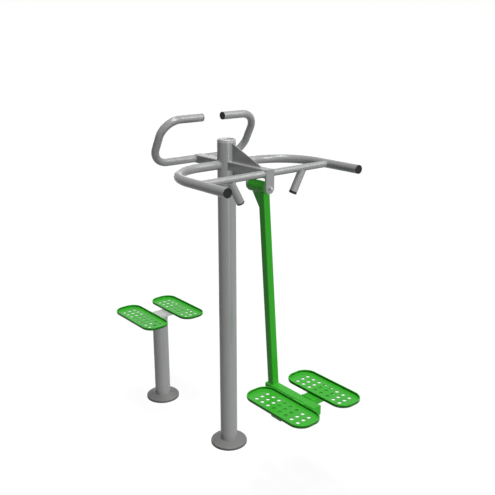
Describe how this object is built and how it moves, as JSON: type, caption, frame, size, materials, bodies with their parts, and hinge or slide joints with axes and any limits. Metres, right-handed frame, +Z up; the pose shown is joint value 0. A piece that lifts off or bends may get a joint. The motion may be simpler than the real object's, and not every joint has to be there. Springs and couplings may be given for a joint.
{
  "type": "outdoor twist and ski trainer",
  "caption": "Outdoor exercise trainer: post with curved handles and a swinging perforated footboard station, beside a short post with turning footplates.",
  "frame": {"origin": "the main post's axis at ground level, on the underside of its base flange", "axes": "+X points from the main post to the ski station's footplates, the twist station's post is on -X, +Z is up, and the part is symmetrical about the XZ plane"},
  "size_m": [1.599, 0.814, 1.7549],
  "materials": {
    "frame_grey": "satin silver-grey powder coat",
    "base_grey": "satin mid-grey powder coat",
    "leaf_green": "satin green powder coat",
    "cap_black": "black moulded plastic",
    "zinc": "zinc plated",
    "machined": "machined and oiled"
  },
  "bodies": {
    "frame": {"main_flange": "base_grey", "main_post": "frame_grey", "main_base_cover": "base_grey", "post_cap": "frame_grey", "front_arm": "frame_grey", "rear_arm": "frame_grey", "top_gusset": "frame_grey", "under_gusset": "frame_grey", "ski_frame_left": "frame_grey", "ski_frame_right": "frame_grey", "ski_crossbar_left": "frame_grey", "ski_crossbar_right": "frame_grey", "stub_handle_left": "frame_grey", "stub_handle_right": "frame_grey", "ski_grip_caps": "cap_black", "stub_handle_caps": "cap_black", "twist_handle": "frame_grey", "twist_handle_caps": "cap_black", "front_ear": "frame_grey", "rear_ear": "frame_grey", "pivot_axle": "machined", "axle_washers": "zinc", "axle_nuts": "zinc", "dust_washers": "machined", "twist_flange": "base_grey", "twist_post": "frame_grey", "twist_base_cover": "base_grey", "bearing_housing": "machined", "twist_bearings": "machined", "bearing_circlip": "machined"},
    "swing": {"swing_barrel": "leaf_green", "swing_bearings": "machined", "swing_spacer": "machined", "swing_arm": "leaf_green", "swing_web": "leaf_green", "foot_beam": "leaf_green", "foot_beam_ends": "leaf_green", "foot_crossbar": "leaf_green", "foot_crossbar_ends": "leaf_green", "ski_plate_left": "leaf_green", "ski_plate_right": "leaf_green"},
    "twister": {"twist_bar": "frame_grey", "twist_spindle": "machined", "spindle_washer": "zinc", "spindle_nut": "zinc", "twist_plate_left": "leaf_green", "twist_plate_right": "leaf_green"}
  },
  "joints": [
    {"name": "ski_swing", "type": "hinge", "parent": "frame", "child": "swing", "pos_m": [0.244, 0, 1.452], "axis": [1, 0, 0], "range_deg": [-40, 40]},
    {"name": "twist_turn", "type": "hinge", "parent": "frame", "child": "twister", "pos_m": [-0.648, 0, 0.5], "axis": [0, 0, 1], "continuous": true}
  ]
}
